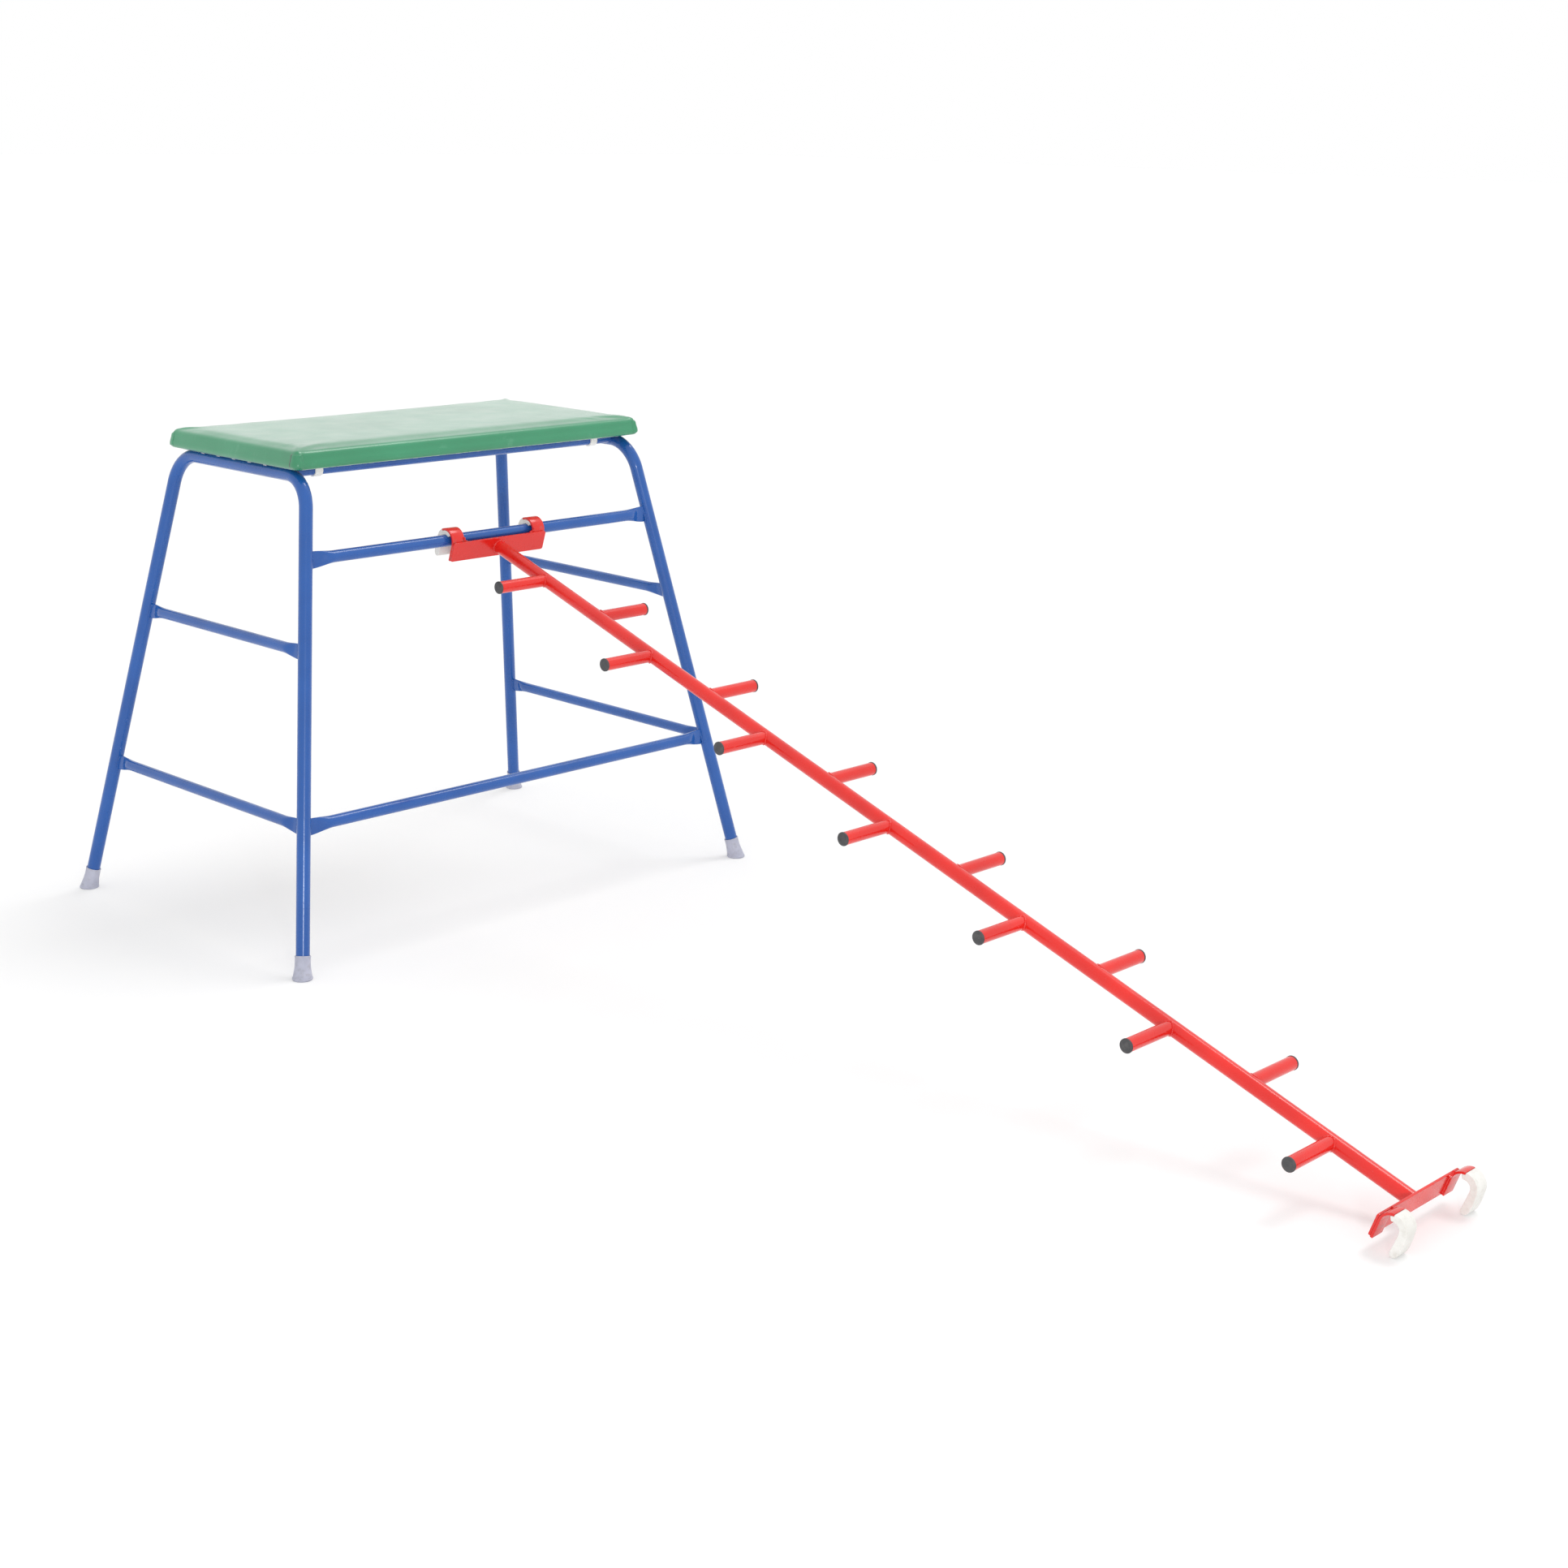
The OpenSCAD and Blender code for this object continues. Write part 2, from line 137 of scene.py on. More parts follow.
def makePiece(name, points, faces, material, body, slot, wearAndShade=None, sharp=35, stands=()):
    mesh = bpy.data.meshes.new(name)
    mesh.from_pydata(np.asarray(points, float).reshape(-1, 3).tolist(), [], faces)
    # this per-point channel carries edge wear on painted parts and painted shade along the vinyl pleats' free
    # edges
    if wearAndShade is not None:
        attribute = mesh.attributes.new("wearAndShade", "FLOAT", "POINT")
        attribute.data.foreach_set("value", np.asarray(wearAndShade, np.float32).ravel())
    work = bmesh.new()
    work.from_mesh(mesh)
    bmesh.ops.remove_doubles(work, verts=work.verts, dist=1e-6)
    bmesh.ops.recalc_face_normals(work, faces=work.faces)
    work.to_mesh(mesh)
    work.free()
    mesh.polygons.foreach_set("use_smooth", np.ones(len(mesh.polygons), bool))
    mesh.set_sharp_from_angle(angle=math.radians(sharp))
    mesh.materials.append(material)
    piece = bpy.data.objects.new(name, mesh)
    bpy.context.scene.collection.objects.link(piece)
    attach(piece, body)
    if stands:
        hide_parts(*stands)
    return piece


def joined(parts):
    # several (points, faces, wear) as one
    allPoints, allFaces, allWearAndShade, start = [], [], [], 0
    for points, faces, wearAndShade in parts:
        points = np.asarray(points, float).reshape(-1, 3)
        allPoints.append(points)
        allWearAndShade.append(np.asarray(wearAndShade, float).ravel())
        allFaces += [[i + start for i in face] for face in faces]
        start += len(points)
    return np.concatenate(allPoints), allFaces, np.concatenate(allWearAndShade)


def framesAlong(path, reference, closed=False):
    # tangent, and two directions square to it; the first lies nearest to the reference
    path = np.asarray(path, float)
    if closed:
        t = np.roll(path, -1, 0) - np.roll(path, 1, 0)
    else:
        t = np.gradient(path, axis=0)
    t /= np.linalg.norm(t, axis=1, keepdims=True)
    reference = np.broadcast_to(np.asarray(reference, float), path.shape)
    u = reference - (reference * t).sum(1, keepdims=True) * t
    u /= np.linalg.norm(u, axis=1, keepdims=True)
    return t, u, np.cross(t, u)


def carried(path, section, reference, closed=False, wearAndShade=0.0):
    # a closed section, (m, 2) or one for each point of the path, carried along the path
    t, u, v = framesAlong(path, reference, closed)
    section = np.asarray(section, float)
    if section.ndim == 2:
        section = np.broadcast_to(section, (len(path),) + section.shape)
    points = path[:, None, :] + section[..., :1] * u[:, None, :] + section[..., 1:] * v[:, None, :]
    rows, columns = points.shape[:2]
    faces = gridFaces(rows, columns, closedRows=closed)
    if not closed:
        faces += endFaces(rows, columns)
    return points.reshape(-1, 3), faces, np.full(rows * columns, wearAndShade)


def ring(radius, count=48):
    a = circle(count)
    return np.stack([radius * np.cos(a), radius * np.sin(a)], 1)


def turned(profile, origin, axis, around=48):
    # profile rows (distance along the axis, radius), turned about the axis, closed at both ends
    profile = np.asarray(profile, float)
    axis = np.asarray(axis, float) / np.linalg.norm(axis)
    side = np.cross(axis, [0.0, 0.0, 1.0] if abs(axis[2]) < 0.9 else [1.0, 0.0, 0.0])
    side /= np.linalg.norm(side)
    a = circle(around)
    spoke = np.cos(a)[:, None] * side + np.sin(a)[:, None] * np.cross(axis, side)
    points = np.asarray(origin) + profile[:, None, :1] * axis + profile[:, None, 1:] * spoke[None]
    rows = len(profile)
    faces = gridFaces(rows, around) + endFaces(rows, around)
    return points.reshape(-1, 3), faces, np.zeros(rows * around)


def plate(outline, thick, edge, place, steps=4):
    # a flat-cut outline (n, 2) of that thickness, its edges rounded, put in place by a function of (a, b, c)
    outline = np.asarray(outline, float)
    ahead, behind = np.roll(outline, -1, 0), np.roll(outline, 1, 0)
    area = 0.5 * np.sum(outline[:, 0] * ahead[:, 1] - ahead[:, 0] * outline[:, 1])
    e1, e2 = outline - behind, ahead - outline
    e1 /= np.linalg.norm(e1, axis=1, keepdims=True)
    e2 /= np.linalg.norm(e2, axis=1, keepdims=True)
    n1, n2 = np.stack([-e1[:, 1], e1[:, 0]], 1), np.stack([-e2[:, 1], e2[:, 0]], 1)
    inward = (n1 + n2) / np.maximum(1 + (n1 * n2).sum(1, keepdims=True), 0.3) * np.sign(area)
    a = np.linspace(0, np.pi / 2, steps + 1)
    drawn = edge * (1 - np.sin(a))
    inset = np.concatenate([[edge * 1.2], drawn, drawn[::-1], [edge * 1.2]])
    rise = edge * (1 - np.cos(a))
    level = np.concatenate([[-thick / 2], rise - thick / 2, (thick / 2 - rise)[::-1], [thick / 2]])
    flat = outline[None] + inset[:, None, None] * inward[None]
    rows, columns = flat.shape[:2]
    height = np.broadcast_to(level[:, None], (rows, columns))
    points = place(np.stack([flat[..., 0], flat[..., 1], height], -1))
    faces = gridFaces(rows, columns) + endFaces(rows, columns)
    wearAndShade = np.zeros((rows, columns))
    wearAndShade[1:-1] = 1
    return points.reshape(-1, 3), faces, wearAndShade.ravel()


def dense(outline, gap):
    # more points along a closed outline, its corners kept
    outline = np.asarray(outline, float)
    ahead = np.roll(outline, -1, 0)
    out = []
    for p, q in zip(outline, ahead):
        count = max(1, int(round(np.linalg.norm(q - p) / gap)))
        out.append(p + (q - p) * (np.arange(count) / count)[:, None])
    return np.concatenate(out)


def arc(centre, radius, start, stop, count):
    a = np.radians(np.linspace(start, stop, count))
    return np.stack([centre[0] + radius * np.cos(a), centre[1] + radius * np.sin(a)], 1)


def node(tree, kind, **settings):
    made = tree.nodes.new(kind)
    for key, value in settings.items():
        if key in made.inputs:
            made.inputs[key].default_value = value
        else:
            setattr(made, key, value)
    return made


def newMaterial(name):
    material = bpy.data.materials.new(name)
    material.use_nodes = True
    tree = material.node_tree
    tree.nodes.clear()
    out = tree.nodes.new("ShaderNodeOutputMaterial")
    shader = tree.nodes.new("ShaderNodeBsdfPrincipled")
    tree.links.new(shader.outputs["BSDF"], out.inputs["Surface"])
    coords = tree.nodes.new("ShaderNodeTexCoord")
    return material, tree, shader, coords.outputs["Object"]


def noise(tree, coords, scale, detail=3.0, rough=0.5, stretch=None):
    if stretch is not None:
        mapping = node(tree, "ShaderNodeMapping", Scale=stretch)
        tree.links.new(coords, mapping.inputs["Vector"])
        coords = mapping.outputs["Vector"]
    made = node(tree, "ShaderNodeTexNoise", Scale=scale, Detail=detail, Roughness=rough)
    tree.links.new(coords, made.inputs["Vector"])
    return made.outputs["Fac"]


def remap(tree, value, low, high, toLow, toHigh):
    made = node(tree, "ShaderNodeMapRange")
    for key, number in zip(("From Min", "From Max", "To Min", "To Max"), (low, high, toLow, toHigh)):
        made.inputs[key].default_value = number
    tree.links.new(value, made.inputs["Value"])
    return made.outputs["Result"]


def mixed(tree, factor, first, second):
    made = node(tree, "ShaderNodeMix", data_type="RGBA")
    tree.links.new(factor, made.inputs["Factor"])
    for socket, colour in ((made.inputs[6], first), (made.inputs[7], second)):  # the node's two colour sockets
        if isinstance(colour, (tuple, list)):
            socket.default_value = (*colour[:3], 1.0)
        else:
            tree.links.new(colour, socket)
    return made.outputs[2]


def multiplied(tree, first, second):
    made = node(tree, "ShaderNodeMath", operation="MULTIPLY")
    tree.links.new(first, made.inputs[0])
    tree.links.new(second, made.inputs[1])
    return made.outputs[0]


def bumped(tree, shader, height, strength, distance, under=None):
    made = node(tree, "ShaderNodeBump", Strength=strength, Distance=distance)
    tree.links.new(height, made.inputs["Height"])
    if under is not None:
        tree.links.new(under, made.inputs["Normal"])
    tree.links.new(made.outputs["Normal"], shader.inputs["Normal"])
    return made.outputs["Normal"]


paintLook = dict(blue=(0.011, 0.096, 0.38), blueDeep=(0.008, 0.080, 0.33), red=(0.74, 0.015, 0.009),
                 redDeep=(0.64, 0.011, 0.007), worn=(0.20, 0.17, 0.16), dust=(0.36, 0.34, 0.32))


def paintedMetal(name, colour, deep):
    material, tree, shader, coords = newMaterial(name)
    cloud = noise(tree, coords, 11, 3)
    base = mixed(tree, remap(tree, cloud, 0.35, 0.68, 0, 1), colour, deep)
    specks = remap(tree, noise(tree, coords, 260, 5, 0.65), 0.66, 0.72, 0, 0.10)  # fine rubbed marks
    base = mixed(tree, specks, base, paintLook["dust"])
    wearAndShade = node(tree, "ShaderNodeAttribute", attribute_name="wearAndShade").outputs["Fac"]
    chips = multiplied(tree, wearAndShade, remap(tree, noise(tree, coords, 85, 6, 0.7), 0.55, 0.63, 0, 0.35))
    base = mixed(tree, chips, base, paintLook["worn"])
    tree.links.new(base, shader.inputs["Base Color"])
    tree.links.new(remap(tree, noise(tree, coords, 34, 4), 0.3, 0.75, 0.20, 0.36), shader.inputs["Roughness"])
    shader.inputs["Specular IOR Level"].default_value = 0.32
    shader.inputs["Coat Weight"].default_value = 0.50
    shader.inputs["Coat Roughness"].default_value = 0.10
    bumped(tree, shader, noise(tree, coords, 420, 2), 0.10, 0.0006)  # powder coat's orange peel
    return material


def vinyl(name):
    # the darkest green here is painted shade for the crease along each pleat's free edge
    look = dict(green=(0.014, 0.255, 0.112), deep=(0.010, 0.215, 0.090), chalk=(0.20, 0.50, 0.34),
                paintedFoldShade=(0.004, 0.050, 0.024), grain=1500)
    material, tree, shader, coords = newMaterial(name)
    base = mixed(tree, remap(tree, noise(tree, coords, 6, 4), 0.35, 0.7, 0, 1), look["green"], look["deep"])
    scuffs = remap(tree, noise(tree, coords, 22, 7, 0.72, (1, 3, 1)), 0.58, 0.74, 0, 0.22)
    base = mixed(tree, scuffs, base, look["chalk"])
    paintedFoldShade = node(tree, "ShaderNodeAttribute", attribute_name="wearAndShade").outputs["Fac"]  # painted shade in the crease along a pleat's free edge
    base = mixed(tree, paintedFoldShade, base, look["paintedFoldShade"])
    tree.links.new(base, shader.inputs["Base Color"])
    tree.links.new(remap(tree, noise(tree, coords, 16, 5), 0.3, 0.7, 0.34, 0.50), shader.inputs["Roughness"])
    shader.inputs["Sheen Weight"].default_value = 1.0
    shader.inputs["Sheen Roughness"].default_value = 0.16
    shader.inputs["Coat Weight"].default_value = 0.80
    shader.inputs["Coat Roughness"].default_value = 0.20
    cells = node(tree, "ShaderNodeTexVoronoi", Scale=look["grain"], feature="SMOOTH_F1")
    tree.links.new(coords, cells.inputs["Vector"])
    first = bumped(tree, shader, cells.outputs["Distance"], 0.18, 0.0004)
    bumped(tree, shader, noise(tree, coords, 48, 3), 0.10, 0.0012, first)
    return material


def moulded(name, colour, deep, low, high, grain, strength, dirt=None):
    # plain moulded plastic or rubber, with a fine grain and a little dirt where asked
    material, tree, shader, coords = newMaterial(name)
    base = mixed(tree, remap(tree, noise(tree, coords, 30, 4), 0.35, 0.7, 0, 1), colour, deep)
    if dirt is not None:
        marks = remap(tree, noise(tree, coords, 95, 7, 0.7), 0.50, 0.72, 0, 0.5)
        base = mixed(tree, marks, base, dirt)
    tree.links.new(base, shader.inputs["Base Color"])
    tree.links.new(remap(tree, noise(tree, coords, 60, 4), 0.3, 0.7, low, high), shader.inputs["Roughness"])
    bumped(tree, shader, noise(tree, coords, grain, 4), strength, 0.0005)
    return material


def plywood(name):
    material, tree, shader, coords = newMaterial(name)
    grain = noise(tree, coords, 9, 8, 0.65, (1, 14, 14))
    base = mixed(tree, remap(tree, grain, 0.35, 0.65, 0, 1), (0.62, 0.42, 0.23), (0.40, 0.23, 0.11))
    tree.links.new(base, shader.inputs["Base Color"])
    shader.inputs["Roughness"].default_value = 0.7
    bumped(tree, shader, grain, 0.25, 0.0008)
    return material


def platedSteel(name):
    material, tree, shader, coords = newMaterial(name)
    cloud = remap(tree, noise(tree, coords, 240, 4), 0.3, 0.7, 0, 1)
    base = mixed(tree, cloud, (0.62, 0.63, 0.65), (0.42, 0.43, 0.45))
    tree.links.new(base, shader.inputs["Base Color"])
    shader.inputs["Metallic"].default_value = 1.0
    tree.links.new(remap(tree, noise(tree, coords, 400, 3), 0.3, 0.7, 0.28, 0.5), shader.inputs["Roughness"])
    return material


bluePaint = paintedMetal("bluePaint", paintLook["blue"], paintLook["blueDeep"])
redPaint = paintedMetal("redPaint", paintLook["red"], paintLook["redDeep"])
greenVinyl = vinyl("greenVinyl")
ferruleRubber = moulded("ferruleRubber", (0.47, 0.48, 0.58), (0.36, 0.37, 0.46), 0.42, 0.6, 700, 0.25,
                        (0.22, 0.21, 0.21))
linerNylon = moulded("linerNylon", (0.80, 0.79, 0.76), (0.70, 0.69, 0.65), 0.38, 0.55, 380, 0.2,
                     (0.58, 0.55, 0.50))
clipNylon = moulded("clipNylon", (0.86, 0.86, 0.84), (0.78, 0.78, 0.75), 0.35, 0.5, 500, 0.15)
capPlastic = moulded("capPlastic", (0.035, 0.036, 0.040), (0.060, 0.060, 0.064), 0.42, 0.62, 650, 0.35,
                     (0.12, 0.115, 0.11))
foamLook = moulded("foamLook", (0.80, 0.68, 0.34), (0.70, 0.56, 0.25), 0.8, 0.95, 900, 0.8)
boardWood = plywood("boardWood")
steelLook = platedSteel("steelLook")

slotMaterials = {"blue_paint": bluePaint, "red_paint": redPaint, "ferrule_rubber": ferruleRubber,
                 "green_vinyl": greenVinyl, "foam": foamLook, "plywood": boardWood, "clip_nylon": clipNylon,
                 "liner_nylon": linerNylon, "black_cap": capPlastic, "steel": steelLook}
for part in frame["record"]["subparts"]:
    mesh = nodes[part["node"]].data
    mesh.materials.clear()
    mesh.materials.append(slotMaterials[part["material_slot"]])
print("materials made:", len(slotMaterials))

sides = {"left": -1, "right": 1}
ends = {"front": -1, "back": 1}


def framePath(side):
    # down one leg, round a bend, along the top bar, round the other bend and down
    f = tableFrame
    bendCut = f["bendRadius"] * math.tan((math.pi / 2 - splay) / 2)
    halfBar = f["topSpanY"] / 2 - bendCut
    legEnd = legLength - f["legLift"] / (math.cos(lean) * math.cos(splay))
    down = np.linspace(legEnd, bendCut, 24)[:-1]
    leg = np.stack([f["topSpanY"] / 2 + down * math.sin(splay), -down * math.cos(splay)], 1)
    bend = arc((halfBar, -f["bendRadius"]), f["bendRadius"], math.degrees(splay), 90, 22)
    bar = np.stack([np.linspace(halfBar, 0, 7)[1:], np.zeros(6)], 1)
    half = np.concatenate([leg, bend, bar])
    whole = np.concatenate([half, (half * [-1, 1])[::-1][1:]])
    return onFramePlane(side, whole[:, 0], whole[:, 1])


for word, side in sides.items():
    square = (math.cos(lean), 0, -side * math.sin(lean))  # square to the leaning end plane
    points, faces, wearAndShade = carried(framePath(side), ring(tableFrame["tubeRadius"]), square)
    makePiece("endFrameTube_" + word, points, faces, bluePaint, "table", "blue_paint", wearAndShade,
              stands=["end_frame_" + word])
print("end frames bent")

pressed = dict(blade=0.012, taper=0.050, bladeHalf=0.0023, grow=1.42, drop=0.30, square=0.42, stations=120)


def pressedTube(start, stop, radius, upright):
    # circle that closes to a flat blade at both ends: the width of the section shrinks and its height grows
    start, stop = np.asarray(start, float), np.asarray(stop, float)
    length = np.linalg.norm(stop - start)
    p = pressed
    near = (1 - np.cos(np.linspace(0, np.pi, p["stations"]))) / 2
    closing = np.linspace(0, p["blade"] + p["taper"], 26)
    along = np.unique(np.concatenate([closing, near * length, length - closing]))
    edge = np.minimum(along, length - along)
    flat = 1 - smooth((edge - p["blade"]) / p["taper"])
    flatFast = smooth(flat * 1.25)
    high = radius * (1 + (p["grow"] - 1) * flat)
    thick = radius + (p["bladeHalf"] - radius) * flatFast
    a = circle(48)
    power = 1 - (1 - p["square"]) * flatFast[:, None]
    across = thick[:, None] * np.sign(np.cos(a)) * np.abs(np.cos(a)) ** power
    up = high[:, None] * np.sin(a) - (high - radius)[:, None] * p["drop"]
    path = start + (stop - start) * (along / length)[:, None]
    t = (stop - start) / length
    upright = np.asarray(upright, float) - np.dot(upright, t) * t
    upright /= np.linalg.norm(upright)
    sideways = np.cross(t, upright)
    points = path[:, None] + across[..., None] * sideways + up[..., None] * upright
    rows, columns = points.shape[:2]
    faces = gridFaces(rows, columns) + endFaces(rows, columns)
    return points.reshape(-1, 3), faces, np.zeros(rows * columns)


weld = dict(rail=0.0017, rung=0.0019, pole=0.0021, strap=0.0017, fillet=0.0075)  # radii, and a fillet leg


def bead(path, radius, ripples, reference, seed, closed=True):
    # weld bead: a small round carried along the joint line, with the ripple of a hand-made weld
    count = len(path)
    s = circle(count)
    swell = 1 + 0.13 * np.sin(ripples * s + seed) + 0.10 * np.sin(3 * s + 2.1 * seed)
    a = circle(10)
    section = radius * swell[:, None, None] * np.stack([np.cos(a), np.sin(a)], 1)[None]
    return carried(path, section, reference, closed=closed, wearAndShade=0.0)


def bladeBead(centre, outward, upright, high, drop, seed):
    # loop round a flat blade where it meets the round leg, lying on the leg's surface
    r = tableFrame["tubeRadius"]
    a = circle(64)
    half = pressed["bladeHalf"]
    across = half * np.sign(np.cos(a)) * np.abs(np.cos(a)) ** 0.5
    up = high * np.sin(a) - drop
    outward = np.asarray(outward, float) - np.dot(outward, upright) * np.asarray(upright)
    outward /= np.linalg.norm(outward)
    sideways = np.cross(upright, outward)
    depth = np.sqrt(r * r - across ** 2)
    path = np.asarray(centre) + depth[:, None] * outward + across[:, None] * sideways
    path = path + up[:, None] * np.asarray(upright)
    return bead(path, weld["rail"], 15, outward, seed)


rails = {"hooking_rail": (0.0111, 0.723), "lower_rail": (0.0111, 0.262)}
bars = {"upper_bar": (0.010, 0.564), "lower_bar": (0.010, 0.262)}
weldParts = []
seed = 0.0
for name, (radius, height) in rails.items():
    low, high = [(s * legX(height), middleY - legY(height), height) for s in (-1, 1)]
    points, faces, wearAndShade = pressedTube(low, high, radius, (0, 0, 1))
    makePiece(name + "_tube", points, faces, bluePaint, "table", "blue_paint", wearAndShade, stands=[name])
    grown = radius * pressed["grow"]
    for s, end in ((-1, low), (1, high)):
        seed += 1.7
        down = np.array([s * math.tan(lean), -math.tan(splay) / math.cos(lean), -1.0])
        down /= np.linalg.norm(down)
        weldParts.append(bladeBead(end, (-s, 0, 0), -down, grown, (grown - radius) * pressed["drop"], seed))
for name, (radius, height) in bars.items():
    for word, side in sides.items():
        low, high = [(side * legX(height), middleY + e * legY(height), height) for e in (-1, 1)]
        upright = onFramePlane(side, 0, 0) - onFramePlane(side, 0, -1)
        points, faces, wearAndShade = pressedTube(low, high, radius, upright)
        makePiece(name + "_tube_" + word, points, faces, bluePaint, "table", "blue_paint", wearAndShade,
                  stands=[name + "_" + word])
        grown = radius * pressed["grow"]
        for e, end in ((-1, low), (1, high)):
            seed += 1.7
            down = np.array([side * math.tan(lean), e * math.tan(splay) / math.cos(lean), -1.0])
            down /= np.linalg.norm(down)
            weldParts.append(bladeBead(end, (0, -e, 0), -down, grown, (grown - radius) * pressed["drop"], seed))

topRail = dict(radius=0.0095, y=0.150, bead=0.0016, stations=30)
railTop = tableFrame["topHeight"] + tableFrame["tubeRadius"] - topRail["radius"]
for word, e in ends.items():
    half = tableFrame["topSpanX"] / 2
    row = np.ones(topRail["stations"])
    path = np.stack([half * np.linspace(-1, 1, len(row)), (middleY + e * topRail["y"]) * row, railTop * row], 1)
    points, faces, wearAndShade = carried(path, ring(topRail["radius"], 40), (0, 0, 1))
    makePiece("topRailTube_" + word, points, faces, bluePaint, "table", "blue_paint", wearAndShade,
              stands=["top_rail_" + word])
    for s in (-1, 1):  # ring where the small tube meets the top bar: the meeting line of two round tubes
        a = circle(72)
        y, z = topRail["radius"] * np.cos(a), topRail["radius"] * np.sin(a)
        rise = railTop + z - tableFrame["topHeight"]
        x = s * (half - np.sqrt(np.maximum(tableFrame["tubeRadius"] ** 2 - rise ** 2, 1e-8)))
        ringPath = np.stack([x, middleY + e * topRail["y"] + y, railTop + z], 1)
        ringPath = ringPath[ringPath[:, 2] < railTop + topRail["radius"] * 0.86]
        order = np.argsort(np.arctan2(ringPath[:, 1] - middleY - e * topRail["y"],
                                      ringPath[:, 2] - railTop - 0.02))
        seed += 1.7
        weldParts.append(bead(ringPath[order], topRail["bead"], 11, (1, 0, 0), seed, closed=False))
points, faces, wearAndShade = joined(weldParts)
makePiece("tableWelds", points, faces, bluePaint, "table", "blue_paint", wearAndShade, sharp=80)
print("rails, bars and their welds made")

ferrule = dict(high=0.046, mouth=0.0145, tread=0.0185, treadThick=0.005, lip=0.0007)
for endWord, e in ends.items():
    for sideWord, s in sides.items():
        name = sideWord + "_" + endWord
        f = ferrule
        footY = e * (tableFrame["topSpanY"] / 2 + legLength * math.sin(splay))
        foot = onFramePlane(s, footY, -legLength * math.cos(splay))
        top = onFramePlane(s, e * tableFrame["topSpanY"] / 2, 0.0)
        axis = (top - foot) / np.linalg.norm(top - foot)
        t = np.linspace(0, 1, 30)  # 0 at the floor
        bell = f["mouth"] + (f["tread"] - f["mouth"]) * (1 - smooth(t * 1.25)) ** 1.35
        bell = bell + f["lip"] * np.exp(-((t - 0.96) / 0.022) ** 2)
        profile = np.stack([t * f["high"] - 0.004, bell - 0.0004], 1)
        mouth = [[f["high"] - 0.0038, f["mouth"] - 0.0008], [f["high"] - 0.0052, 0.0120]]
        profile = np.concatenate([profile, mouth])
        bellPoints, bellFaces, bellWear = turned(profile, foot, axis)
        bellPoints[:, 2] = np.maximum(bellPoints[:, 2], 0.0012)
        a = np.linspace(-np.pi / 2, np.pi / 2, 9)
        rim = np.stack([f["treadThick"] / 2 * (1 + np.sin(a)), f["tread"] - 0.0016 + 0.0016 * np.cos(a)], 1)
        rimPart = turned(rim, (foot[0], foot[1], 0.0), (0, 0, 1))
        points, faces, wearAndShade = joined([(bellPoints, bellFaces, bellWear), rimPart])
        makePiece("ferruleFoot_" + name, points, faces, ferruleRubber, "table", "ferrule_rubber", wearAndShade, sharp=50,
                  stands=["ferrule_" + name])
print("ferrules turned")

poleLow = -plateOut - poleLength
count = 90
path = onLadder(np.stack([np.zeros(count), np.linspace(-plateOut, poleLow, count),
                          np.full(count, -hook["rise"])], 1))
points, faces, wearAndShade = carried(path, ring(ladder["poleRadius"], 56), (1, 0, 0))
makePiece("poleTube", points, faces, redPaint, "ladder", "red_paint", wearAndShade, stands=["ladder_pole"])
redWelds = []
for i in range(1, ladder["rungs"] + 1):
    side = -1 if i % 2 else 1
    y = -plateOut - ladder["endGap"] - (i - 1) * ladder["pitch"]
    r = ladder["rungRadius"]
    x = side * np.linspace(0.004, ladder["reach"] - ladder["capHead"], 14)
    path = onLadder(np.stack([x, np.full(14, y), np.full(14, -hook["rise"])], 1))
    points, faces, wearAndShade = carried(path, ring(r, 44), onLadder([0, 0, 1]) - onLadder([0, 0, 0]))
    makePiece("rungTube_%d" % i, points, faces, redPaint, "ladder", "red_paint", wearAndShade, stands=["rung_%d" % i])
    headRadius, head = r + 0.0006, ladder["capHead"]
    a = np.linspace(0, np.pi / 2, 9)
    dome = [[0.0, r - 0.0004], [0.0, headRadius - 0.0004], [0.0004, headRadius], [head * 0.40, headRadius]]
    dome += [[head * 0.40 + head * 0.60 * np.sin(v), headRadius - 0.0075 * (1 - np.cos(v))] for v in a[1:]]
    dome += [[head - 0.00002, headRadius * 0.22], [head - 0.0003, headRadius * 0.19], [head - 0.0003, 0.0004]]
    origin = onLadder([side * (ladder["reach"] - head), y, -hook["rise"]])
    points, faces, wearAndShade = turned(dome, origin, (side, 0, 0), 44)
    makePiece("rungCapHead_%d" % i, points, faces, capPlastic, "ladder", "black_cap", wearAndShade, sharp=40,
              stands=["rung_cap_%d" % i])
    a = circle(72)  # meeting line of the rung and the pole
    along, up = r * np.cos(a), r * np.sin(a)
    out = side * np.sqrt(ladder["poleRadius"] ** 2 - up ** 2)
    weldPath = onLadder(np.stack([out, y + along, up - hook["rise"]], 1))
    redWelds.append(bead(weldPath, weld["rung"], 17, (side, 0, 0), i * 2.3))


def roundedRect(wide, high, radius, gap=0.004):
    # outline of a rectangle with rounded corners, counter-clockwise
    out = []
    for sx, sy, start in ((1, 1, 0), (-1, 1, 90), (-1, -1, 180), (1, -1, 270)):
        out.append(arc((sx * (wide / 2 - radius), sy * (high / 2 - radius)), radius, start, start + 90, 7))
    return dense(np.concatenate(out), gap)


